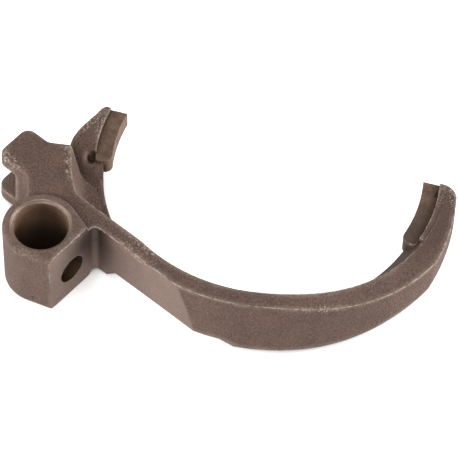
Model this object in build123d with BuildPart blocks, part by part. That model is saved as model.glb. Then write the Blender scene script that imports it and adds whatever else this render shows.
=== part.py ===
"""Forged steel gear shift fork, in millimetres.

The origin is on the axis of the rail bore, at the lower end of the boss, and Z runs along the bore.
X runs parallel to the ends of the two pads, from the short arm to the long arm, and the fork opens
towards +Y. The boss face, the selector horns and the bar of the long arm are square to each other
but turned from X by lug_angle, so they are drawn on a plane of their own, the lug plane, whose own
directions are called u and v. The ring, both arms and the cove are set out from the pad circle.
"""
import os
from math import cos, radians, sin, sqrt, tan

from build123d import *

# Rail boss
bore_d = 20.0
bore_chamfer = 1.3
bore_lower_chamfer = 0.6
boss_wall = 4.1
boss_height = 30.0
boss_face_wall = 3.5
boss_face_stock = 2.0
boss_nose_width = 19.6
boss_edge_r = 1.3
lug_angle = -25.7
cross_hole_d = 11.6
cross_hole_v = 1.4
cross_hole_z = 13.4

# Web behind the boss and its selector horns
web_step = 2.0
web_start = (-10.5, 4.3)
web_waist_u = -19.6
web_end = (-17.0, 35.2)
web_far_v = 40.5
web_far_near_u = -10.0
web_far_end_u = 18.0
arm_top_v = 34.0
horn_end_u = -34.9
horn_near = 14.3
horn_far = 30.3
horn_root_u = -24.5
horn_corner_r = 3.6
horn_root_r = 4.0
slot_back_u = -26.0
slot_height = 14.5

# Pads that ride in the sleeve groove
pad_r = 57.5
pad_width = 6.2
pad_thickness = 7.0
pad_end_inner_r = 2.8
pad_end_outer_r = 1.6
rail_to_pads = 31.83
fork_bearing_angle = 38.41
tip_offset = 9.5
tip_angle = 12.0
short_pad_end_angle = -166.8
long_pad_end_angle = -18.0
pocket_r = 1.7
pocket_offset = 1.5
pocket_angle = -168.7
pocket_depth = 4.5

# Ring that joins the two arms, forged a little off the centre of the machined pads
ring_step = 2.5
ring_shift = 0.75
ring_bottom = 5.0
ring_bottom_width = 9.0
ring_bottom_end_angle = -140.0
lip_drop = 2.5
lip_slope_width = 6.0
lip_back_width = 1.5
lip_start_angle = -145.0
cheek_step = 1.4
cheek_width = 5.0
cheek_start_angle = -15.0

# Cove that the forging die leaves between the web and the ring
cove_width = 12.0
cove_foot_width = 8.0
cove_floor_drop = 1.5
cove_blend_r = 3.5
cove_corner_r = 3.0
cove_start_angle = -175.0
cove_end_angle = -132.5
cove_slope_y = 45.0
cove_slope_angle = 40.0
cove_crest_r = 9.0
cove_rise_r = 14.0

# Short arm, set out from the point of the ring that is level with the fork's centre
short_arm_outline = ((-12.8, -11.5), (-12.3, -6.3), (-10.9, -1.9))
short_arm_end = (-6.8, 6.7)
short_arm_root_y = 35.0
short_tip_back = 2.5
short_tip_r = 5.0

# Long arm, a flat bar that runs into a deep rib
rib_start_u = 31.0
rib_inner_shift = (3.05, 3.4)
rib_inner_rise = 5.3
rib_outer_shift = (2.1, 6.5)
rib_outer_rise = 14.7
rib_foot = 4.2
bar_near = 13.7
bar_bottom = 6.8
bar_ramp = (19.0, 23.4)
bar_drop = (70.5, 75.5)
milled_corner_r = 2.2
taper_start = 22.75
taper_end = 0.95
taper_blend_r = 90.0
underside_start = 30.75
underside_r = 150.0
underside_turn_angle = 22.0
long_tip_outline = ((8.6, -30.5), (11.5, -13.0), (10.6, 3.5))
long_tip_rise = 4.0
long_tip_cut = 2.0
long_tip_r = 6.5

# Whole forging
forging_draft_angle = 6.0
web_draft_angle = 2.6
edge_r = 1.1
overlap = 1.0
clear = 60.0

# Derived places
mid_z = boss_height / 2
web_top = boss_height - web_step
boss_r = bore_d / 2 + boss_wall
boss_face_u = bore_d / 2 + boss_face_wall
pad_top = mid_z + pad_thickness / 2
pad_bottom = mid_z - pad_thickness / 2
pocket_floor = pad_top - pocket_depth
cheek_top = pad_top + cheek_step
cheek_bottom = pad_bottom - cheek_step
lip_z = mid_z - lip_drop
cove_floor = mid_z - cove_floor_drop
step_r = pad_r + pad_width
fork_reach = pad_r + rail_to_pads
fork_x = fork_reach * cos(radians(fork_bearing_angle))
fork_y = fork_reach * sin(radians(fork_bearing_angle))
tip_y = fork_y + tip_offset
ring_r = pad_r + ring_step
ring_x = fork_x - ring_shift
short_side_x = fork_x - ring_r
long_side_x = fork_x + ring_r
cove_r = ring_r + cove_width
cove_foot_r = ring_r + cove_foot_width
draft_slope = tan(radians(forging_draft_angle))
rib_height = web_top - rib_foot
pad_spans = ((-180 - tip_angle, short_pad_end_angle), (long_pad_end_angle, tip_angle))

lug_x = (cos(radians(lug_angle)), sin(radians(lug_angle)), 0)
lug_y = (-lug_x[1], lug_x[0], 0)
lug = Plane(origin=(0, 0, 0), x_dir=lug_x, z_dir=(0, 0, 1))
lug_side = Plane(origin=(0, 0, 0), x_dir=lug_x, z_dir=(lug_x[1], -lug_x[0], 0))
rib_inner_r = ring_r + rib_inner_rise
rib_outer_r = ring_r + rib_outer_rise
rib_inner_centre = Vector(ring_x + rib_inner_shift[0], fork_y + rib_inner_shift[1], rib_foot)
rib_outer_centre = Vector(ring_x + rib_outer_shift[0], fork_y + rib_outer_shift[1], rib_foot)
rib_inner_u, rib_inner_v, _ = lug.to_local_coords(rib_inner_centre)
bar_far = rib_inner_v - sqrt(rib_inner_r**2 - (rib_inner_u - rib_start_u) ** 2)
pad_axis = Axis((fork_x, fork_y, 0), (0, 0, 1))
ring_axis = Axis((ring_x, fork_y, 0), (0, 0, 1))


def upright(axis, angle):
    """Upright plane through an axis of the fork, with its X outwards at this angle and its Y up."""
    c, s = cos(radians(angle)), sin(radians(angle))
    return Plane(origin=axis.position, x_dir=(c, s, 0), z_dir=(s, -c, 0))


def ring_segment(axis, start, end, inner, outer, bottom, top):
    """Part of a square-edged ring about an axis of the fork, from one angle to another."""
    with BuildPart() as segment:
        with BuildSketch(upright(axis, start)):
            with Locations(((inner + outer) / 2, (bottom + top) / 2)):
                Rectangle(outer - inner, top - bottom)
        revolve(axis=axis, revolution_arc=end - start)
    return segment.part


def corners_at(sketch, x):
    """Corners of a sketch that stand at one distance along its own X."""
    return sketch.vertices().filter_by_position(Axis.X, x - 0.01, x + 0.01)


# Web and selector horns, drafted down from the top, with the rims that stay free rounded
with BuildPart() as web:
    with BuildSketch(lug.offset(web_top)) as web_plan:
        with BuildLine():
            Polyline(
                (0, 0),
                web_start,
                (web_waist_u, horn_near),
                (horn_end_u, horn_near),
                (horn_end_u, horn_far),
                (horn_root_u, horn_far),
                web_end,
                (web_far_near_u, web_far_v),
                (web_far_end_u, web_far_v),
                (web_far_end_u, bar_far),
                (rib_start_u, bar_far),
                (rib_start_u, 0.0),
                close=True,
            )
        make_face()
        fillet(corners_at(web_plan, horn_end_u), horn_corner_r)
        fillet(corners_at(web_plan, web_waist_u) + corners_at(web_plan, horn_root_u), horn_root_r)
    extrude(amount=web_step - web_top, taper=-web_draft_angle)
    rims = web.faces().filter_by(Axis.Z).edges()
    free_rims = rims.filter_by(lambda e: lug.to_local_coords(e.center()).X < web_end[0] / 2)
    fillet(free_rims, edge_r)

# Rail boss blank, before its face is milled
with BuildPart() as boss:
    with BuildSketch(lug):
        nose_u = boss_face_u + boss_face_stock
        with BuildLine():
            CenterArc((0, 0), boss_r, 0, 360)
            Line((nose_u, -boss_nose_width / 2), (nose_u, boss_nose_width / 2))
        make_hull()
    extrude(amount=boss_height)
    fillet(boss.faces().filter_by(Axis.Z).edges(), boss_edge_r)

# Long arm's rib, drafted inside and outside
with BuildPart() as rib:
    widening = draft_slope * rib_height
    foot = (Align.CENTER, Align.CENTER, Align.MIN)
    with Locations(rib_outer_centre):
        Cone(rib_outer_r + widening, rib_outer_r, rib_height, align=foot)
    with Locations(rib_inner_centre):
        Cone(rib_inner_r - widening, rib_inner_r, rib_height, align=foot, mode=Mode.SUBTRACT)
    with BuildSketch(lug):
        with Locations((rib_start_u + 2 * clear, clear)):
            Rectangle(4 * clear, 4 * clear)
    extrude(amount=clear, mode=Mode.INTERSECT)

# Inner lip of the ring, from which the pads stand
with BuildPart() as lip:
    slope_r = ring_r + lip_slope_width
    with BuildSketch(upright(ring_axis, lip_start_angle)):
        with BuildLine():
            Polyline(
                (ring_r, rib_foot),
                (ring_r, lip_z),
                (slope_r, cheek_top),
                (slope_r + lip_back_width, cheek_top),
                (slope_r + lip_back_width, rib_foot),
                close=True,
            )
        make_face()
    revolve(axis=ring_axis, revolution_arc=tip_angle - lip_start_angle)

# Space above the rise from the cove's floor to the top of the short arm
with BuildPart() as above_rise:
    with BuildSketch(Plane.YZ.offset(-clear)) as rise:
        low_z = lip_z - overlap / 2
        foot_y = cove_slope_y - (cheek_top - low_z) / tan(radians(cove_slope_angle))
        with BuildLine():
            Polyline(
                (-clear, low_z),
                (foot_y, low_z),
                (cove_slope_y, cheek_top),
                (2 * clear, cheek_top),
                (2 * clear, 2 * clear),
                (-clear, 2 * clear),
                close=True,
            )
        make_face()
        fillet(corners_at(rise, foot_y), cove_rise_r)
        fillet(corners_at(rise, cove_slope_y), cove_crest_r)
    extrude(amount=3 * clear)

# Cove, with its wall blended into its floor and rounded where it turns along the bar
with BuildPart() as cove:
    wall_slope = (cove_r - cove_foot_r) / (web_top - cove_floor)
    with BuildSketch(upright(ring_axis, cove_start_angle)) as cove_section:
        with BuildLine():
            Polyline(
                (clear / 2, clear),
                (cove_r + wall_slope * (clear - web_top), clear),
                (cove_foot_r, cove_floor),
                (ring_r, lip_z - overlap),
                (clear / 2, lip_z - overlap),
                close=True,
            )
        make_face()
        fillet(corners_at(cove_section, cove_foot_r), cove_blend_r)
    revolve(axis=ring_axis, revolution_arc=cove_end_angle - cove_start_angle)
    bar_wall = Plane(
        origin=lug.from_local_coords((0, bar_far, web_top)),
        x_dir=lug_x,
        z_dir=Vector(0, 1, draft_slope).rotate(Axis.Z, lug_angle),
    )
    split(bisect_by=bar_wall, keep=Keep.TOP)
    wall_corner = cove.edges().filter_by(GeomType.HYPERBOLA).sort_by(Edge.length)[-1]
    foot_corner = cove.edges().filter_by(GeomType.BSPLINE)
    fillet([wall_corner, *foot_corner], cove_corner_r)
    add(above_rise.part, mode=Mode.INTERSECT)

# Room above the short arm, beyond the end of the web
with BuildPart() as arm_top:
    with BuildSketch(lug):
        with BuildLine():
            Polyline(
                (horn_root_u, horn_far + overlap),
                web_end,
                (web_far_near_u, arm_top_v),
                (clear, arm_top_v),
                (clear, 2 * clear),
                (-2 * clear, 2 * clear),
                (-clear, clear),
                close=True,
            )
        make_face()
    extrude(amount=2 * clear)
    add(above_rise.part, mode=Mode.INTERSECT)


def pad(start, end):
    """Machined pad, with the corners rounded at the end that faces the other arm's root."""
    with BuildPart() as block:
        add(ring_segment(pad_axis, start, end, pad_r, step_r, pad_bottom, pad_top))
        end_edges = block.edges().filter_by(Axis.Z).sort_by(Axis.Y)[:2]
        inner, outer = end_edges.sort_by_distance((fork_x, fork_y, mid_z))
        fillet(inner, pad_end_inner_r)
        outer = block.edges().filter_by(Axis.Z).sort_by_distance(outer.center())[0]
        fillet(outer, pad_end_outer_r)
    return block.part


# Cheek beside the long pad, the pads, and the room cut above and below them
cheek_span = (cheek_start_angle, tip_angle)
cheek = ring_segment(pad_axis, *cheek_span, step_r - overlap, step_r + cheek_width, cheek_bottom, cheek_top)
pads = [pad(*span) for span in pad_spans]
reliefs = [ring_segment(pad_axis, *span, overlap, step_r, pad_top, clear) for span in pad_spans]
reliefs += [ring_segment(pad_axis, *span, overlap, step_r, -clear, pad_bottom) for span in pad_spans]
under_span = (cove_start_angle, ring_bottom_end_angle)
under_r = ring_r + ring_bottom_width
ring_underside = ring_segment(ring_axis, *under_span, overlap, under_r, -clear, ring_bottom)

with BuildPart() as shift_fork:
    add(web.part)
    # Short arm
    arm_points = [(short_side_x + x, fork_y + y) for x, y in short_arm_outline]
    arm_end = (short_side_x + short_arm_end[0], fork_y + short_arm_end[1])
    arm_inner_x = short_side_x - short_arm_outline[0][0]
    with BuildSketch(Plane.XY.offset(cheek_bottom)):
        with BuildLine():
            outer = ThreePointArc(*arm_points)
            straight = Line(outer @ 1, arm_end)
            tip = RadiusArc(arm_end, (short_side_x - short_tip_back, tip_y + overlap), short_tip_r)
            Polyline(
                tip @ 1,
                (arm_inner_x, tip_y + overlap),
                (arm_inner_x, short_arm_root_y),
                (arm_points[0][0], short_arm_root_y),
                outer @ 0,
            )
        make_face()
    extrude(amount=cheek_top - cheek_bottom)
    add(rib.part)
    add(lip.part)
    add(cheek)
    # Inside of the ring, and the cove
    with Locations((ring_x, fork_y, 0)):
        Cylinder(ring_r, 2 * clear, mode=Mode.SUBTRACT)
    add([cove.part, arm_top.part], mode=Mode.SUBTRACT)
    add(ring_underside, mode=Mode.SUBTRACT)
    # Side profile of the long arm, above and below
    side = Plane.XZ.offset(-tip_y - clear)
    taper_x = (ring_x + taper_start, ring_x + ring_r + taper_end)
    with BuildSketch(side) as taper:
        with BuildLine():
            Polyline(
                (clear, web_top),
                (taper_x[0], web_top),
                (taper_x[1], cheek_top),
                (4 * clear, cheek_top),
                (4 * clear, clear),
                (clear, clear),
                close=True,
            )
        make_face()
        fillet(corners_at(taper, taper_x[0]) + corners_at(taper, taper_x[1]), taper_blend_r)
    extrude(amount=4 * clear, mode=Mode.SUBTRACT)
    with BuildSketch(side):
        under_x = ring_x + underside_start
        with BuildLine():
            under = JernArc((under_x, rib_foot), (1, 0), underside_r, underside_turn_angle)
            Polyline(
                under @ 1,
                (4 * clear, rib_foot),
                (4 * clear, -clear),
                (under_x, -clear),
                under @ 0,
            )
        make_face()
    extrude(amount=4 * clear, mode=Mode.SUBTRACT)
    # Underside of the bar, raised clear of the boss
    with BuildSketch(lug_side.offset(-clear)):
        with BuildLine():
            Polyline(
                (bar_ramp[0], web_step),
                (bar_ramp[1], bar_bottom),
                (bar_drop[0], bar_bottom),
                (bar_drop[1], rib_foot),
                (bar_drop[1], -clear),
                (bar_ramp[0], -clear),
                close=True,
            )
        make_face()
    extrude(amount=3 * clear, mode=Mode.SUBTRACT)
    # Outer edge and rounded end of the long arm
    with BuildSketch():
        with BuildLine():
            edge = ThreePointArc(*[(long_side_x + x, fork_y + y) for x, y in long_tip_outline])
            corner = RadiusArc(edge @ 1, (long_side_x + long_tip_rise, tip_y), -long_tip_r)
            Polyline(
                corner @ 1,
                (long_side_x + long_tip_rise, tip_y + clear),
                (4 * clear, tip_y + clear),
                (4 * clear, 0),
                (long_side_x + long_tip_cut, 0),
                edge @ 0,
            )
        make_face()
    extrude(amount=clear, mode=Mode.SUBTRACT)
    # Small pocket at the end of the short pad, then the pads, and the ends of both arms
    with BuildSketch(Plane.XY.offset(pocket_floor)):
        with Locations((fork_x, fork_y)):
            with PolarLocations(step_r + pocket_offset, 1, pocket_angle):
                Circle(pocket_r)
    extrude(amount=clear, mode=Mode.SUBTRACT)
    add(reliefs, mode=Mode.SUBTRACT)
    add(pads)
    with BuildSketch():
        with Locations((fork_x, tip_y + clear)):
            Rectangle(4 * clear, 2 * clear)
    extrude(amount=clear, mode=Mode.SUBTRACT)
    # Rail boss, then its milled face and the milled side of the bar in one pass
    add(boss.part)
    with BuildSketch(lug) as milled_plan:
        with Locations((boss_face_u + 2 * clear, bar_near - 2 * clear)):
            Rectangle(4 * clear, 4 * clear)
        fillet(milled_plan.vertices().sort_by(Axis.X)[:2].sort_by(Axis.Y)[-1], milled_corner_r)
    extrude(amount=clear, mode=Mode.SUBTRACT)
    # Slot between the horns
    with BuildSketch(lug.offset(mid_z - slot_height / 2)):
        with Locations((slot_back_u - clear / 2, (horn_near + horn_far) / 2)):
            Rectangle(clear, 2 * (horn_far - horn_near))
    extrude(amount=slot_height, mode=Mode.SUBTRACT)
    # Rail bore and the cross hole into it
    with BuildSketch():
        Circle(bore_d / 2)
    extrude(amount=boss_height, mode=Mode.SUBTRACT)
    circles = shift_fork.edges().filter_by(GeomType.CIRCLE)
    mouths = circles.filter_by(lambda e: e.radius == bore_d / 2)
    chamfer(mouths.sort_by(Axis.Z)[-1], bore_chamfer)
    chamfer(mouths.sort_by(Axis.Z)[0], bore_lower_chamfer)
    with BuildSketch(Plane(origin=(0, 0, 0), x_dir=lug_y, z_dir=lug_x)):
        with Locations((cross_hole_v, cross_hole_z)):
            Circle(cross_hole_d / 2)
    extrude(amount=clear, mode=Mode.SUBTRACT)

shift_fork.part.label = "shift_fork"
os.makedirs("parts", exist_ok=True)
export_step(shift_fork.part, "parts/shift_fork.step")
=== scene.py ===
"""Looks of a forged steel gear shift fork, laid out as a Blender add-on and run as a script.

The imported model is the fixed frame. This file gives its one forging a procedural steel that knows
which faces are as forged and which are milled, turned or otherwise machined, and sets it on a plain
pale stage. Lengths are in metres, as in the frame; the steel's own patterns are in millimetres.
"""

from math import cos, radians, sin

import bpy
from bpy.props import FloatProperty, FloatVectorProperty, PointerProperty
from mathutils import Matrix, Vector


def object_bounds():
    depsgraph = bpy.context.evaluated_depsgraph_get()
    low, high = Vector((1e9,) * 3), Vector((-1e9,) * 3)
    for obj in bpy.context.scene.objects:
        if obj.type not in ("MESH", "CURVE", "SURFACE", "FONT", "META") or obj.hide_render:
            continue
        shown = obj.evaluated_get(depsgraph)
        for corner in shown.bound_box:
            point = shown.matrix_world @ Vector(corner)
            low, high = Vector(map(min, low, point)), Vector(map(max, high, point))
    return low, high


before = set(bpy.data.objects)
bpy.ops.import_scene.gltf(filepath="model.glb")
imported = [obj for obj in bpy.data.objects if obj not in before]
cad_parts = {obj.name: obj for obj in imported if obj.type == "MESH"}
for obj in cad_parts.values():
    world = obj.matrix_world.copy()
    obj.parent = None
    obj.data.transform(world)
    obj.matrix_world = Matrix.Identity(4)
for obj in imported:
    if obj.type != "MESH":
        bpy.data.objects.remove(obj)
cad_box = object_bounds()

bl_info = {
    "name": "Gear shift fork",
    "version": (1, 0, 0),
    "blender": (4, 5, 0),
    "location": "3D View > Sidebar > Fork",
    "description": "Steel finish and studio stage for a forged gear shift fork",
    "category": "Object",
}

# Places on the forging, in millimetres and degrees from the bore's axis. U runs out of the boss's
# milled face and V runs across that face to the bar, both turned by the lug's angle.
MM_PER_M = 1000.0
LUG_ANGLE = -25.7
BORE_R = 10.0
BORE_CHAMFER_R = 11.3
BOSS_TOP_Z = 30.0
BOSS_FACE_U = 13.5
BAR_FACE_V = 13.7
CORNER_WIDTH = 2.3
LOCK_HOLE_R = 5.8
LOCK_HOLE_CENTRE = (1.4, 13.4)
SLOT_U = -26.0
SLOT_Z = (7.75, 22.25)
PAD_CENTRE = (70.0, 55.5)
PAD_STEP_R = 63.7
PAD_Z = (11.5, 18.5)
PAD_MIN_Y = 37.0
TIP_Y = 65.0
POCKET_CENTRE = (6.1, 42.7)
POCKET_R = 1.7

# How closely a face is told from its neighbours, in millimetres, and by its normal
TOLERANCE = 0.12
FACING = 0.9
UPRIGHT = 0.3

# Where stains, wear, painted light and painted shade fade, in millimetres, and by the normal's share of X
CORNER_SHADE_REACH = (3.0, 10.0)
CORNER_SHADE_Z = (4.0, 20.0)
CORNER_SHADE_LEAST = 0.2
LIT_FOOT_Z = (8.0, 20.0)
HOLE_RUST_SHADE_Z = (7.5, 12.0)
LIT_MOUTH_Z = (12.0, BOSS_TOP_Z)
FLANK_SHEEN_NORMAL = (0.2, 0.9)
LIT_LEFT_WALL_NORMAL = (0.3, 0.9)
LEFT_WALL_LIGHT = 0.35
CHEEK_R = (PAD_STEP_R + 5.0, 76.0)
CHEEK_Y = (24.0, 38.0)
LIP_R = PAD_STEP_R + 0.3
LIP_X = (75.0, 120.0)
LIP_SHADE_STRENGTH = 1.6
LONG_PAD_Y = (46.0, 60.0)
POCKET_RIM_R = (POCKET_R + 0.3, POCKET_R + 0.7)
POCKET_SHADE_R = (PAD_STEP_R + 0.6, PAD_STEP_R + 2.2)
WEAR_Z = (15.0, 20.0)

# How far the paler rim, faintly worn and with a painted highlight, reaches, in widths of the edge wear
RIM_REACH = 5.0

# Oval spots: centre, half sizes, in millimetres
POCKET_KNOB_HIGHLIGHT = ((3.9, 42.2, 17.9), (1.9, 3.4, 2.2))
PAD_CORNER_SHADE = ((8.2, 41.8, 16.8), (2.6, 1.8, 1.8))
DENTS = (((132.9, 61.0, 18.5), (0.8, 2.0, 1.0)), ((0.7, -14.3, 4.1), (0.8, 1.0, 0.7)))

# Scuffed places: centre, reach in millimetres, strength
SCUFFS = (
    ((1, 31, 28), 11, 1.0),
    ((-20, 26, 28), 7, 1.0),
    ((37, 2, 28), 11, 0.8),
    ((1, 57, 20), 9, 1.0),
    ((14, -1, 29), 5, 0.4),
    ((-3, -14.5, 28.5), 8, 0.3),
    ((109, -10, 24), 12, 0.8),
    ((137, 60, 20), 7, 1.0),
)
SCUFF_CORE = 0.4

# What the steel's masks are called, in the order in which the group gives them out
FACE_MASKS = (
    "Milled", "Bar", "Corner", "Corner shade", "Bore", "Lit mouth", "Flank sheen", "Chamfer", "Lock hole",
    "Slot", "Pad", "Cheek", "Pocket shade", "Round pocket", "Knob highlight", "Dent",
)
WEAR_MASKS = ("Wear", "Rim wear and highlight", "Specks", "Pits", "Crease dirt and shade")
GRAIN_VALUES = ("Height", "Mottle", "Pitting")

# Studio. Lamps: name, bearing and height in degrees, power in watts. Lengths in metres.
LAMPS = (("Front lamp", 0, 45, 7.6), ("Left lamp", 300, 12, 14.0), ("Right lamp", 112, 14, 21.0))
LAMP_SIZE = 0.6
LAMP_DISTANCE = 1.0
SOFT_LIGHT = 0.1
FLOOR_SIZE = 6.0
FLOOR_GAP = 0.0002
FLOOR_GLOW = 0.75
CONTACT_REACH = 0.03
CONTACT_SHADE = (0.05, 0.05, 0.05)
WHITE = (1.0, 1.0, 1.0)
SENSOR_WIDTH = 36.0
CLIP_END = 20.0


def colour(name, description, default):
    """Colour property with the settings that every colour here shares."""
    return FloatVectorProperty(
        name=name, description=description, default=default, subtype="COLOR", size=3, min=0.0, max=1.0
    )


def length(name, description, default):
    """Length property in metres, never below nought."""
    return FloatProperty(name=name, description=description, default=default, unit="LENGTH", min=0.0)


def angle(name, description, degrees):
    """Angle property, given in degrees."""
    return FloatProperty(name=name, description=description, default=radians(degrees), subtype="ANGLE")


class ForkFinish(bpy.types.PropertyGroup):
    """Colours and depths of the steel."""

    forged: colour("Forged skin", "Dull oxide of the surfaces left as forged", (0.101, 0.063, 0.0485))
    milled: colour("Milled faces", "Boss face and flat side of the bar", (0.176, 0.116, 0.092))
    # The pad colour also gives the knob beside the pocket its painted highlight
    pad: colour("Pads", "Machined pads at the ends of both arms", (0.135, 0.09, 0.066))
    bore: colour("Bore", "Turned wall of the rail bore", (0.17, 0.1, 0.062))
    chamfer: colour("Chamfers", "Bright streaks on the bore's chamfers", (0.2, 0.148, 0.112))
    # The worn-edge colour also gives the forged rims their painted highlight
    bright: colour("Worn edges", "Bare metal where an edge has rubbed", (0.5, 0.4, 0.33))
    # The rust colour also tints painted shade in creases, in the pocket and in the lock hole
    rust: colour("Rust", "Thin rust and dirt in corners, in dents and on the pads", (0.045, 0.021, 0.009))
    deep_rust: colour("Deep rust", "Rust low down in the lock hole", (0.034, 0.016, 0.003))
    grain_depth: length("Forged grain depth", "Height of the forged skin's grain", 0.0009)
    wear_width: length("Edge wear width", "How far wear reaches from an edge", 0.0006)
    rim_radius: length("Rim radius", "Rounding that the forged rims show", 0.0010)
    # The crease width also sets how far painted shade reaches into inner corners
    crease_width: length("Crease width", "How far dirt reaches from an inner corner", 0.0028)


class ForkStage(bpy.types.PropertyGroup):
    """Camera and floor."""

    azimuth: angle("Azimuth", "Camera's turn round the fork, 0 looking along +Y", 14.12)
    elevation: angle("Elevation", "Camera's height above the horizon", 54.75)
    roll: angle("Roll", "Camera's turn about its own axis", 1.576)
    target: FloatVectorProperty(
        name="Target",
        description="Point in the middle of the picture",
        subtype="TRANSLATION",
        default=(0.06134, 0.03391, 0.00513),
    )
    distance: length("Distance", "From the camera to the target", 1.2894)
    lens: FloatProperty(
        name="Lens", description="Focal length in millimetres on a 36 mm sensor", unit="CAMERA", default=274.8
    )
    floor: colour("Floor", "Pale floor and backdrop", (0.82, 0.82, 0.82))


def shade(tint, share=1.0):
    """Tint made darker or lighter by a share, as a shader's colour."""
    return tuple(share * part for part in tint) + (1.0,)


class Nodes:
    """Short way to place and link the nodes of one tree."""

    def __init__(self, tree):
        self.tree = tree

    def new(self, kind, inputs=(), **settings):
        """Node of one kind, with settings and inputs given by name or index."""
        node = self.tree.nodes.new(kind)
        for key, value in settings.items():
            setattr(node, key, value)
        for key, value in dict(inputs).items():
            self.put(node.inputs[key], value)
        return node

    def put(self, socket, value):
        """Links a socket to another, or sets its value."""
        if isinstance(value, bpy.types.NodeSocket):
            self.tree.links.new(value, socket)
        else:
            socket.default_value = value

    def math(self, operation, *values):
        """Math node's result."""
        return self.new("ShaderNodeMath", enumerate(values), operation=operation).outputs[0]

    def vector(self, operation, inputs, result=0):
        """Vector math node's result."""
        return self.new("ShaderNodeVectorMath", inputs, operation=operation).outputs[result]

    def both(self, *masks):
        """Product of several masks."""
        out = masks[0]
        for mask in masks[1:]:
            out = self.math("MULTIPLY", out, mask)
        return out

    def either(self, *masks):
        """Greatest of several masks."""
        out = masks[0]
        for mask in masks[1:]:
            out = self.math("MAXIMUM", out, mask)
        return out

    def total(self, *terms):
        """Sum of values, each times its share."""
        parts = [self.math("MULTIPLY", value, share) for value, share in terms]
        out = parts[0]
        for part in parts[1:]:
            out = self.math("ADD", out, part)
        return out

    def outside(self, mask):
        """Mask with its 0 and 1 changed over."""
        return self.math("SUBTRACT", 1.0, mask)

    def above(self, value, edge, soft=0.05):
        """Mask that rises from 0 to 1 as a value passes an edge."""
        return self.new(
            "ShaderNodeMapRange",
            {"Value": value, "From Min": edge - soft, "From Max": edge + soft},
            interpolation_type="SMOOTHSTEP",
        ).outputs[0]

    def below(self, value, edge, soft=0.05):
        """Mask that falls from 1 to 0 as a value passes an edge."""
        return self.outside(self.above(value, edge, soft))

    def near(self, value, place):
        """Mask of what lies at a place, within the tolerance."""
        off = self.math("ABSOLUTE", self.math("SUBTRACT", value, place))
        return self.below(off, TOLERANCE, soft=0.04)

    def ramp(self, value, low, high, out_low=0.0, out_high=1.0):
        """Value moved from one range to another, and held at its ends."""
        ends = {"From Min": low, "From Max": high, "To Min": out_low, "To Max": out_high}
        return self.new("ShaderNodeMapRange", {"Value": value, **ends}).outputs[0]

    def follow(self, mask, off, on):
        """Value that goes from one number to another as a mask rises."""
        return self.ramp(mask, 0.0, 1.0, off, on)

    def mix(self, factor, first, second):
        """Colour between two colours."""
        node = self.new("ShaderNodeMix", {"Factor": factor, "A": first, "B": second}, data_type="RGBA")
        return node.outputs["Result"]

    def stain(self, base, mask, tint, cover=1.0):
        """Colour with a tint laid over it where a mask says, as far as its cover."""
        return self.mix(self.math("MULTIPLY", mask, cover), base, tint)

    def noise(self, place, scale, detail=3.0, roughness=0.55):
        """Noise value at a place."""
        settings = {"Vector": place, "Scale": scale, "Detail": detail, "Roughness": roughness}
        return self.new("ShaderNodeTexNoise", settings).outputs[0]

    def stretched(self, place, scale, turn=0.0):
        """Place on axes that are turned about Z by degrees and scaled."""
        settings = {"Vector": place, "Rotation": (0.0, 0.0, radians(turn)), "Scale": scale}
        return self.new("ShaderNodeMapping", settings).outputs[0]

    def openness(self, distance, inside=False):
        """How open the piece's surface is within a distance, seen from outside or inside."""
        return self.new(
            "ShaderNodeAmbientOcclusion", {"Distance": distance}, inside=inside, only_local=True, samples=8
        ).outputs["AO"]

    def apart(self, vector):
        """The three parts of a vector."""
        return self.new("ShaderNodeSeparateXYZ", {0: vector}).outputs

    def turned(self, a, b, degrees):
        """Two parts of a vector, on axes turned by an angle."""
        c, s = cos(radians(degrees)), sin(radians(degrees))
        return self.total((a, c), (b, s)), self.total((a, -s), (b, c))

    def off_axis(self, a, b, centre=(0.0, 0.0)):
        """Distance from an axis, of a place given by two of its parts."""
        a, b = self.math("SUBTRACT", a, centre[0]), self.math("SUBTRACT", b, centre[1])
        return self.math("SQRT", self.total((a, a), (b, b)))

    def spot(self, place, centre, half, core=0.5):
        """Mask of an oval spot that fades from its core to its edge."""
        off = self.vector("SUBTRACT", {0: place, 1: centre})
        off = self.vector("LENGTH", {0: self.vector("DIVIDE", {0: off, 1: half})}, "Value")
        return self.ramp(off, core, 1.0, 1.0, 0.0)


def empty_tree(owner):
    """Emptied node tree of a material or a world."""
    owner.use_nodes = True
    owner.node_tree.nodes.clear()
    return Nodes(owner.node_tree)


def new_group(name, inputs, outputs):
    """Empty node group with its inputs (name, kind and default) and its outputs."""
    group = bpy.data.node_groups.new(name, "ShaderNodeTree")
    for socket, kind, default in inputs:
        made = group.interface.new_socket(socket, in_out="INPUT", socket_type=kind)
        if default is not None:
            made.default_value = default
    for socket in outputs:
        group.interface.new_socket(socket, in_out="OUTPUT", socket_type="NodeSocketFloat")
    return Nodes(group), group.nodes.new("NodeGroupInput").outputs, group.nodes.new("NodeGroupOutput").inputs


def forged_grain_group():
    """Grain, pits and scale of a forged skin, as height, mottle and pitting."""
    n, given, result = new_group("Forged grain", [("Place", "NodeSocketVector", None)], GRAIN_VALUES)
    place = given["Place"]
    fine = n.noise(place, scale=2.4, detail=2.0, roughness=0.6)
    coarse = n.noise(place, scale=1.35, detail=2.0, roughness=0.6)
    broad = n.noise(place, scale=0.1)
    patches = n.noise(place, scale=0.13, detail=2.0)
    cells = n.new("ShaderNodeTexVoronoi", {"Vector": place, "Scale": 0.95, "Randomness": 1.0}, feature="F1")
    pits = n.both(n.ramp(cells.outputs["Distance"], 0.1, 0.32, 1.0, 0.0), n.ramp(patches, 0.46, 0.6))
    n.put(result["Height"], n.total((fine, 0.4), (coarse, 0.7), (pits, -0.35)))
    n.put(result["Mottle"], n.total((coarse, 0.6), (fine, 0.2), (broad, 0.2)))
    n.put(result["Pitting"], pits)
    return n.tree


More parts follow.
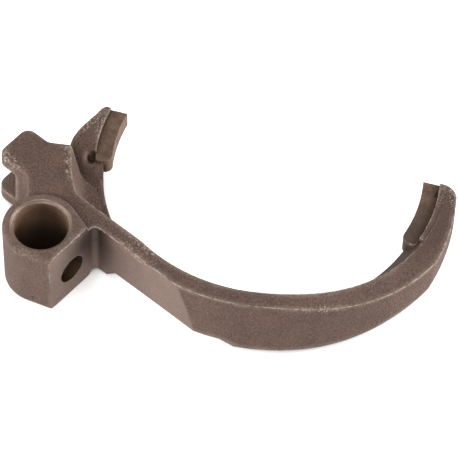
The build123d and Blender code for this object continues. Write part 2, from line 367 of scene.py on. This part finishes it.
def edge_wear_group():
    """Bare outer edges, the paler rims with a painted highlight, specks and pits beside them, and dirt and
    painted shade in inner corners.
    """
    n, given, result = new_group(
        "Edge wear",
        [
            ("Place", "NodeSocketVector", None),
            ("Width", "NodeSocketFloat", 0.0006),
            ("Reach", "NodeSocketFloat", 0.0028),
        ],
        WEAR_MASKS,
    )
    place, width = given["Place"], given["Width"]
    edge = n.openness(width, inside=True)
    band = n.openness(n.math("MULTIPLY", width, RIM_REACH), inside=True)
    corner = n.openness(given["Reach"])

    # An edge is bare in broken lengths, and less so on the low edges
    broken = n.ramp(n.noise(place, scale=0.6, roughness=0.65), 0.4, 0.58)
    high = n.ramp(n.apart(place)[2], *WEAR_Z, 0.25, 1.0)
    n.put(result["Wear"], n.both(n.ramp(edge, 0.9, 0.64), broken, high))
    uneven = n.ramp(n.noise(place, scale=0.12, roughness=0.6), 0.4, 0.6, 0.35, 1.0)
    # The paler rim is faint wear with a painted highlight
    n.put(result["Rim wear and highlight"], n.both(n.ramp(band, 0.88, 0.6), uneven))

    # Bright specks and dark pits come from the two ends of one noise
    scuffed = 0.0
    for centre, reach, strength in SCUFFS:
        off = n.vector("DISTANCE", {0: place, 1: centre}, "Value")
        scuffed = n.either(scuffed, n.ramp(off, SCUFF_CORE * reach, reach, strength, 0.0))
    beside = n.ramp(band, 0.99, 0.86)
    speckle = n.noise(place, scale=1.2, detail=2.0, roughness=0.7)
    n.put(result["Specks"], n.both(beside, n.ramp(speckle, 0.53, 0.64), scuffed))
    n.put(result["Pits"], n.both(beside, n.ramp(speckle, 0.47, 0.38), scuffed))
    # Dirt and painted shade in inner corners, where the surface is sheltered
    n.put(result["Crease dirt and shade"], n.ramp(corner, 0.95, 0.5))
    return n.tree


def worked_faces_group():
    """Masks of the faces that a tool has cut, of what stains them and of where light and shade are painted,
    in millimetres.
    """
    inputs = [("Place", "NodeSocketVector", None), ("Normal", "NodeSocketVector", None)]
    n, given, result = new_group("Worked faces", inputs, FACE_MASKS)
    place = given["Place"]
    x, y, z = n.apart(place)
    nx, ny, nz = n.apart(given["Normal"])
    u, v = n.turned(x, y, LUG_ANGLE)
    nu, nv = n.turned(nx, ny, LUG_ANGLE)
    bore_r = n.off_axis(x, y)
    pad_r = n.off_axis(x, y, PAD_CENTRE)
    hole_r = n.off_axis(v, z, LOCK_HOLE_CENTRE)
    pocket_r = n.off_axis(x, y, POCKET_CENTRE)
    long_side = n.above(x, PAD_CENTRE[0])
    upright = n.below(n.math("ABSOLUTE", nz), UPRIGHT)

    bore = n.below(bore_r, BORE_R + TOLERANCE)
    hole = n.both(
        n.below(hole_r, LOCK_HOLE_R + TOLERANCE),
        n.below(u, BOSS_FACE_U - TOLERANCE),
        n.above(u, 0.0),
        n.above(bore_r, BORE_R + TOLERANCE),
    )
    chamfer = n.both(n.below(bore_r, BORE_CHAMFER_R + 0.02, soft=0.02), n.outside(bore), n.outside(hole))
    boss_face = n.both(n.near(u, BOSS_FACE_U), n.above(nu, FACING))
    bar_face = n.both(n.near(v, BAR_FACE_V), n.below(nv, -FACING), n.above(u, BOSS_FACE_U - 1.0))
    corner = n.both(
        n.above(u, BOSS_FACE_U - TOLERANCE),
        n.below(u, BOSS_FACE_U + CORNER_WIDTH),
        n.below(v, BAR_FACE_V + TOLERANCE),
        upright,
    )
    pad = n.both(
        n.below(pad_r, PAD_STEP_R + 0.05),
        n.above(z, PAD_Z[0] - TOLERANCE),
        n.below(z, PAD_Z[1] + TOLERANCE),
        n.above(y, PAD_MIN_Y),
    )
    pad = n.either(pad, n.above(y, TIP_Y - 0.05, soft=0.02))
    slot = n.both(
        n.above(z, SLOT_Z[0] - TOLERANCE),
        n.below(z, SLOT_Z[1] + TOLERANCE),
        n.below(u, SLOT_U + TOLERANCE),
    )

    # Painted shade darkens both milled faces towards their inner corner, more so near the top
    across_boss = n.math("MULTIPLY", n.math("SUBTRACT", BAR_FACE_V, v), 0.5)
    from_corner = n.either(n.math("SUBTRACT", u, BOSS_FACE_U), across_boss)
    corner_shade = n.both(n.ramp(from_corner, *CORNER_SHADE_REACH, 1.0, 0.0), n.ramp(z, *CORNER_SHADE_Z, CORNER_SHADE_LEAST, 1.0))

    # Painted light makes the bore pale at its mouth and down its left wall, painted shade darkens it lower
    # down, and a painted sheen lies on its flanks
    left_wall_light = n.ramp(nx, *LIT_LEFT_WALL_NORMAL, 0.0, LEFT_WALL_LIGHT)
    lit_mouth = n.math("ADD", n.ramp(z, *LIT_MOUTH_Z), left_wall_light)
    flank_sheen = n.ramp(n.math("ABSOLUTE", nx), *FLANK_SHEEN_NORMAL)

    # The long arm darkens on its cheek, and painted shade darkens its inner lip
    cheek_and_lip_shade = n.both(n.ramp(pad_r, *CHEEK_R, 1.0, 0.0), n.ramp(y, *CHEEK_Y), long_side)
    lip_shade = n.both(n.below(pad_r, LIP_R, soft=0.3), n.ramp(x, *LIP_X))
    cheek_and_lip_shade = n.either(cheek_and_lip_shade, n.math("MULTIPLY", lip_shade, LIP_SHADE_STRENGTH))

    # Painted shade darkens the pocket towards the pad and under the pad's corner, with a painted highlight on
    # a knob beside it
    round_pocket = n.both(n.ramp(pocket_r, *POCKET_RIM_R, 1.0, 0.0), n.outside(pad))
    pocket_shade = n.both(round_pocket, n.ramp(pad_r, *POCKET_SHADE_R, 1.0, 0.0))
    pocket_shade = n.either(pocket_shade, n.math("MULTIPLY", n.spot(place, *PAD_CORNER_SHADE, core=0.2), 0.7))
    knob_highlight = n.both(n.spot(place, *POCKET_KNOB_HIGHLIGHT, core=0.1), n.outside(pocket_shade))
    dent = n.either(*(n.spot(place, *dent) for dent in DENTS))

    masks = {
        "Milled": n.either(boss_face, bar_face, corner),
        "Bar": bar_face,
        "Corner": corner,
        "Corner shade": corner_shade,
        "Bore": bore,
        "Lit mouth": lit_mouth,
        "Flank sheen": flank_sheen,
        "Chamfer": chamfer,
        "Lock hole": hole,
        "Slot": slot,
        "Pad": pad,
        "Cheek": cheek_and_lip_shade,
        "Pocket shade": pocket_shade,
        "Round pocket": round_pocket,
        "Knob highlight": knob_highlight,
        "Dent": dent,
    }
    for name in FACE_MASKS:
        n.put(result[name], masks[name])
    return n.tree


def forged_colour(n, finish, faces, grain):
    """Mottled, pitted oxide of the surfaces left as forged, darker on the long arm's cheek, with painted
    shade on its inner lip.
    """
    tone = n.ramp(grain["Mottle"], 0.4, 0.6)
    skin = n.mix(tone, shade(finish.forged, 0.62), shade(finish.forged, 1.38))
    skin = n.stain(skin, grain["Pitting"], shade(finish.forged, 0.35), cover=0.55)
    # Darker cheek, and painted shade on the inner lip
    return n.stain(skin, faces["Cheek"], shade(finish.forged, 0.4), cover=0.4)


def milled_colour(n, finish, place, lines):
    """Milled steel with faint bands and stains, before painted shade darkens it."""
    tone = n.total((lines, 0.4), (n.noise(place, scale=0.14), 0.6))
    return n.mix(n.ramp(tone, 0.3, 0.7), shade(finish.milled, 0.8), shade(finish.milled, 1.15))


def milled_and_shaded(n, finish, faces, milled, z):
    """Milled steel of the boss and the bar, with painted shade on the bar, painted light on the boss face's
    foot, painted shade towards the inner corner and a painted highlight in the round corner.
    """
    # Painted light on the boss face's foot, and painted shade on the bar
    lit_foot = n.both(n.ramp(z, *LIT_FOOT_Z, 0.3, 0.0), n.outside(faces["Bar"]))
    milled = n.stain(milled, faces["Bar"], shade(finish.milled, 0.45), cover=0.3)
    milled = n.stain(milled, lit_foot, shade(finish.milled, 1.9))
    # Painted shade towards the inner corner
    milled = n.stain(milled, faces["Corner shade"], shade(finish.milled, 0.14), cover=0.95)
    # Painted highlight in the round corner between the milled faces
    return n.stain(milled, faces["Corner"], shade(finish.milled, 0.7), cover=0.25)


def pad_colour(n, finish, place, mottle):
    """Machined pads with rust spots, darker at the long pad's low end."""
    x, y = n.apart(place)[:2]
    pad = n.mix(n.ramp(mottle, 0.35, 0.65), shade(finish.pad, 0.75), shade(finish.pad, 1.25))
    spots = n.ramp(n.noise(place, scale=0.3, detail=4.0, roughness=0.65), 0.44, 0.58)
    pad = n.stain(pad, spots, shade(finish.rust, 1.5), cover=0.5)
    low_end = n.both(n.ramp(y, *LONG_PAD_Y, 0.7, 0.0), n.above(x, PAD_CENTRE[0]))
    return n.stain(pad, low_end, shade(finish.pad, 0.4))


def bore_colour(n, finish, faces, turning):
    """Turned wall of the bore, with a painted sheen on its flanks and painted shade below its mouth."""
    # Turning rings mixed with a painted sheen on the flanks
    turning_and_sheen = n.total((n.ramp(turning, 0.35, 0.65), 0.4), (faces["Flank sheen"], 0.6))
    bore = n.mix(turning_and_sheen, shade(finish.bore, 0.45), shade(finish.bore, 1.5))
    return n.mix(faces["Lit mouth"], shade(finish.bore, 0.2), bore)


def forged_steel(finish):
    """Steel of the whole fork: forged skin, cut faces, rust and worn edges."""
    material = bpy.data.materials.new("Forged steel")
    n = empty_tree(material)
    where = n.new("ShaderNodeTexCoord").outputs
    place = n.vector("SCALE", {0: where["Object"], "Scale": MM_PER_M})
    z = n.apart(place)[2]
    faces = n.new(
        "ShaderNodeGroup", {"Place": place, "Normal": where["Normal"]}, node_tree=worked_faces_group()
    ).outputs
    grain = n.new("ShaderNodeGroup", {"Place": place}, node_tree=forged_grain_group()).outputs
    wear = n.new(
        "ShaderNodeGroup",
        {"Place": place, "Width": finish.wear_width, "Reach": finish.crease_width},
        node_tree=edge_wear_group(),
    ).outputs
    mottle = grain["Mottle"]
    cut = n.either(faces["Milled"], faces["Bore"], faces["Chamfer"])
    smooth = n.either(cut, faces["Pad"], faces["Lock hole"])

    # Milling leaves faint level lines, and turning leaves rings one above another
    lines = n.noise(n.stretched(place, (0.25, 0.25, 2.2), turn=-LUG_ANGLE), scale=1.3)
    rings = n.stretched(place, (0.04, 0.04, 3.0))
    turning = n.noise(rings, scale=1.2)
    streaks = n.ramp(n.noise(rings, scale=3.0, detail=2.0), 0.4, 0.6)

    skin = forged_colour(n, finish, faces, grain)
    milled = milled_colour(n, finish, place, lines)
    chamfer = n.mix(streaks, shade(finish.milled, 0.45), shade(finish.chamfer))
    # Rust low down in the lock hole, painted shade higher up
    rust_and_shade = n.mix(n.ramp(z, *HOLE_RUST_SHADE_Z), shade(finish.deep_rust), shade(finish.rust, 0.35))
    base = n.mix(faces["Slot"], skin, n.mix(0.5, milled, skin))
    base = n.mix(faces["Milled"], base, milled_and_shaded(n, finish, faces, milled, z))
    base = n.mix(faces["Pad"], base, pad_colour(n, finish, place, mottle))
    base = n.mix(faces["Bore"], base, bore_colour(n, finish, faces, turning))
    base = n.mix(faces["Chamfer"], base, chamfer)
    base = n.stain(base, faces["Lock hole"], rust_and_shade, cover=0.95)

    # Dirt and painted shade lie in creases and dirt in pits; dents are darker and painted shade fills the
    # pocket, and a painted highlight lies on a knob beside the pocket
    dark_dents_and_pocket_shade = n.either(faces["Dent"], faces["Pocket shade"])
    clear_of_pocket = n.outside(faces["Round pocket"])
    crease_dirt_and_shade = n.both(wear["Crease dirt and shade"], n.follow(faces["Pad"], 0.5, 1.0), clear_of_pocket)
    base = n.stain(base, crease_dirt_and_shade, shade(finish.rust, 0.6))
    base = n.stain(base, wear["Pits"], shade(finish.rust, 0.6), cover=0.6)
    # Painted highlight on the knob beside the pocket
    base = n.stain(base, faces["Knob highlight"], shade(finish.pad, 2.6), cover=0.8)
    base = n.stain(base, dark_dents_and_pocket_shade, shade(finish.rust, 0.5), cover=0.8)

    # Bare metal shows on rubbed edges and specks; the forged rims are faintly worn and carry a painted
    # highlight
    rubbed = n.either(n.math("MULTIPLY", wear["Wear"], 0.75), n.math("MULTIPLY", wear["Specks"], 0.8))
    rubbed = n.both(rubbed, n.outside(faces["Lock hole"]), n.follow(faces["Pad"], 1.0, 0.35), clear_of_pocket)
    rim_wear_and_highlight = n.both(wear["Rim wear and highlight"], n.outside(smooth), clear_of_pocket)
    base = n.stain(base, rim_wear_and_highlight, shade(finish.bright), cover=0.21)
    base = n.stain(base, rubbed, shade(finish.bright))

    gloss = n.either(rubbed, n.math("MULTIPLY", rim_wear_and_highlight, 0.5))
    rough = n.total((n.ramp(mottle, 0.4, 0.6, 0.64, 0.82), 1.0), (cut, -0.2), (gloss, -0.25))
    metal = n.math("ADD", n.math("MULTIPLY", cut, 0.25), 0.15)

    grain_height = n.both(grain["Height"], n.follow(smooth, 1.0, 0.15))
    tool_marks = n.math("ADD", n.both(lines, faces["Milled"]), n.both(turning, faces["Bore"]))
    height = n.total((grain_height, 1.0), (faces["Dent"], -0.6), (tool_marks, 0.12))
    radius = n.follow(smooth, finish.rim_radius, 0.3 * finish.rim_radius)
    rounded = n.new("ShaderNodeBevel", {"Radius": radius}, samples=8).outputs[0]
    bump = n.new("ShaderNodeBump", {"Height": height, "Distance": finish.grain_depth, "Normal": rounded})
    shader = n.new(
        "ShaderNodeBsdfPrincipled",
        {
            "Base Color": base,
            "Metallic": metal,
            "Roughness": rough,
            "Normal": bump.outputs[0],
            "Specular IOR Level": 0.25,
        },
    )
    n.new("ShaderNodeOutputMaterial", {"Surface": shader.outputs[0]})
    return material


class FORK_OT_finish(bpy.types.Operator):
    """Give the forging its steel"""

    bl_idname = "fork.finish"
    bl_label = "Finish the fork"

    def execute(self, context):
        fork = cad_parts["shift_fork"]
        material = forged_steel(context.scene.fork_finish)
        if not fork.material_slots:
            fork.data.materials.append(material)
        for slot in fork.material_slots:
            slot.material = material
        return {"FINISHED"}


def seen(n):
    """Mask of what the camera sees, straight on, mirrored or through glass."""
    path = n.new("ShaderNodeLightPath").outputs
    return n.either(path["Is Camera Ray"], path["Is Glossy Ray"], path["Is Transmission Ray"])


def floor_material(paint):
    """Matt floor that shows white to the camera, keeps the fork's shadow and has a painted contact shadow
    close to the fork.
    """
    material = bpy.data.materials.new("Pale floor")
    n = empty_tree(material)
    open_air = n.new("ShaderNodeAmbientOcclusion", {"Distance": CONTACT_REACH}, samples=16).outputs["AO"]
    # Painted contact shadow: the floor darkens and stops glowing close to the fork
    tint = n.mix(n.ramp(open_air, 0.05, 0.25), shade(CONTACT_SHADE), shade(paint))
    matt = n.new("ShaderNodeBsdfDiffuse", {"Color": tint})
    strength = n.ramp(open_air, 0.3, 0.6, 0.0, FLOOR_GLOW)
    glow = n.new("ShaderNodeEmission", {"Color": shade(WHITE), "Strength": strength})
    nothing = n.new("ShaderNodeEmission", {"Strength": 0.0})
    lit = n.new("ShaderNodeMixShader", {0: seen(n), 1: nothing.outputs[0], 2: glow.outputs[0]})
    both = n.new("ShaderNodeAddShader", {0: matt.outputs[0], 1: lit.outputs[0]})
    n.new("ShaderNodeOutputMaterial", {"Surface": both.outputs[0]})
    return material


def white_world():
    """World that lights the fork softly and shows white to the camera and in reflections."""
    world = bpy.data.worlds.new("Studio")
    n = empty_tree(world)
    soft = n.new("ShaderNodeBackground", {"Color": shade(WHITE), "Strength": SOFT_LIGHT})
    white = n.new("ShaderNodeBackground", {"Color": shade(WHITE), "Strength": 1.0})
    mixed = n.new("ShaderNodeMixShader", {0: seen(n), 1: soft.outputs[0], 2: white.outputs[0]})
    n.new("ShaderNodeOutputWorld", {"Surface": mixed.outputs[0]})
    return world


def from_target(target, bearing, height, distance):
    """Place at a bearing (0 in front, growing to the right), a height angle and a distance."""
    aside = Vector((sin(bearing) * cos(height), -cos(bearing) * cos(height), sin(height)))
    return Vector(target) + aside * distance


def add_lamp(name, target, bearing, height, power):
    """Square soft lamp that points at a target."""
    data = bpy.data.lights.new(name, "AREA")
    data.shape = "SQUARE"
    data.size = LAMP_SIZE
    data.energy = power
    lamp = bpy.data.objects.new(name, data)
    bpy.context.scene.collection.objects.link(lamp)
    lamp.location = from_target(target, bearing, height, LAMP_DISTANCE)
    lamp.rotation_euler = (Vector(target) - lamp.location).to_track_quat("-Z", "Y").to_euler()


class FORK_OT_stage(bpy.types.Operator):
    """Add the floor, the lamps, the world and the camera"""

    bl_idname = "fork.stage"
    bl_label = "Set the stage"

    def execute(self, context):
        scene = context.scene
        stage = scene.fork_stage
        target = Vector(stage.target)
        bpy.ops.object.select_all(action="DESELECT")
        below_fork = (target.x, target.y, cad_box[0].z - FLOOR_GAP)
        bpy.ops.mesh.primitive_plane_add(size=FLOOR_SIZE, location=below_fork)
        floor = context.object
        floor.name = "floor"
        floor.data.materials.append(floor_material(stage.floor))

        for name, bearing, height, power in LAMPS:
            add_lamp(name, target, radians(bearing), radians(height), power)
        scene.world = white_world()
        scene.view_settings.view_transform = "Standard"

        data = bpy.data.cameras.new("Camera")
        data.sensor_width = SENSOR_WIDTH
        data.lens = stage.lens
        data.clip_end = CLIP_END
        camera = bpy.data.objects.new("Camera", data)
        scene.collection.objects.link(camera)
        camera.location = from_target(target, stage.azimuth, stage.elevation, stage.distance)
        ahead = target - camera.location
        turn = ahead.to_track_quat("-Z", "Y").to_matrix() @ Matrix.Rotation(stage.roll, 3, "Z")
        camera.rotation_euler = turn.to_euler()
        scene.camera = camera
        return {"FINISHED"}


class FORK_PT_panel(bpy.types.Panel):
    """Finish and stage of the fork"""

    bl_idname = "FORK_PT_panel"
    bl_label = "Gear shift fork"
    bl_space_type = "VIEW_3D"
    bl_region_type = "UI"
    bl_category = "Fork"

    def draw(self, context):
        scene = context.scene
        for settings, operator in ((scene.fork_finish, FORK_OT_finish), (scene.fork_stage, FORK_OT_stage)):
            box = self.layout.box()
            for name in settings.__annotations__:
                box.prop(settings, name)
            box.operator(operator.bl_idname)


CLASSES = (ForkFinish, ForkStage, FORK_OT_finish, FORK_OT_stage, FORK_PT_panel)


def register():
    """Adds the classes and the scene's two groups of settings."""
    for cls in CLASSES:
        bpy.utils.register_class(cls)
    bpy.types.Scene.fork_finish = PointerProperty(type=ForkFinish)
    bpy.types.Scene.fork_stage = PointerProperty(type=ForkStage)


def unregister():
    """Takes them away again."""
    del bpy.types.Scene.fork_stage
    del bpy.types.Scene.fork_finish
    for cls in reversed(CLASSES):
        bpy.utils.unregister_class(cls)


def main():
    """Runs the operators in order."""
    register()
    bpy.ops.fork.finish()
    bpy.ops.fork.stage()


if __name__ == "__main__":
    main()
